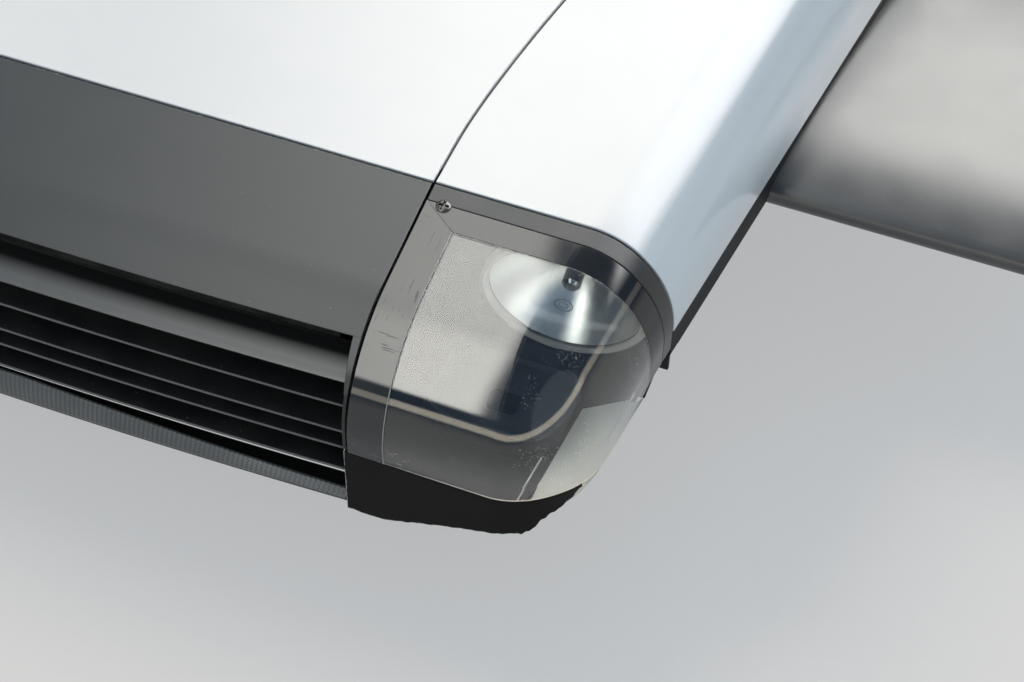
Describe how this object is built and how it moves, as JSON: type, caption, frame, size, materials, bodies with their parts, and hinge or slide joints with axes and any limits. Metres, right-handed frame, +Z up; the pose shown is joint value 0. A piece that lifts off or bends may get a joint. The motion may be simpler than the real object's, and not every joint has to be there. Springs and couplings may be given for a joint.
{
  "type": "streamliner car nose section",
  "caption": "Front body section of a three-wheeled streamliner car: bonnet, grille, lamps behind clear covers and aerofoil fairings over the suspension arms.",
  "frame": {"origin": "centre of the bolt pattern on the rear face of the bulkhead", "axes": "+X to the car's left, +Y to the rear, +Z up"},
  "size_m": [1.7882, 0.8535, 0.28],
  "materials": {
    "white_paint": "gloss white body paint on a moulded skin",
    "black_satin": "satin black paint on a moulded skin",
    "black_plastic": "satin moulded plastic",
    "clear_cover": "clear moulded cover, lightly scratched",
    "lamp_glass": "clear lamp glass",
    "lamp_chrome": "bright reflector coating",
    "ring_plastic": "pale translucent ring",
    "bulb": "bulb glass with a bright cap",
    "bay_grey": "pale grey moulding",
    "frame_steel": "black painted steel tube",
    "aluminium": "plain aluminium",
    "radiator": "blackened finned core"
  },
  "bodies": {
    "root": {"arm_fairing_left": "black_satin", "arm_fairing_right": "black_satin", "arm_spar_left": "frame_steel", "arm_spar_right": "frame_steel", "arm_tip_block_left": "aluminium", "arm_tip_block_right": "aluminium", "bonnet_panel": "white_paint", "chassis_rail_left": "frame_steel", "chassis_rail_right": "frame_steel", "chin_corner_left": "black_satin", "chin_corner_right": "black_satin", "cross_members": "frame_steel", "fender_panel_left": "white_paint", "fender_panel_right": "white_paint", "floor_pan": "black_plastic", "grille_bar": "black_plastic", "grille_end_plate_left": "black_plastic", "grille_end_plate_right": "black_plastic", "grille_lip": "black_plastic", "grille_slats": "black_plastic", "headlamp_bulb_left": "bulb", "headlamp_bulb_right": "bulb", "headlamp_lens_left": "lamp_glass", "headlamp_lens_right": "lamp_glass", "headlamp_reflector_left": "lamp_chrome", "headlamp_reflector_right": "lamp_chrome", "headlamp_ring_left": "ring_plastic", "headlamp_ring_right": "ring_plastic", "lamp_cover_left": "clear_cover", "lamp_cover_right": "clear_cover", "lamp_ledge_left": "bay_grey", "lamp_ledge_right": "bay_grey", "lamp_surround_left": "black_satin", "lamp_surround_right": "black_satin", "lamp_tray_left": "black_plastic", "lamp_tray_right": "black_plastic", "lamp_wall_left": "black_plastic", "lamp_wall_right": "black_plastic", "nose_panel": "black_satin", "radiator_core": "radiator", "rear_bulkhead": "aluminium", "seam_flange_left": "black_plastic", "seam_flange_right": "black_plastic", "sill_left": "black_satin", "sill_right": "black_satin"}
  },
  "joints": []
}
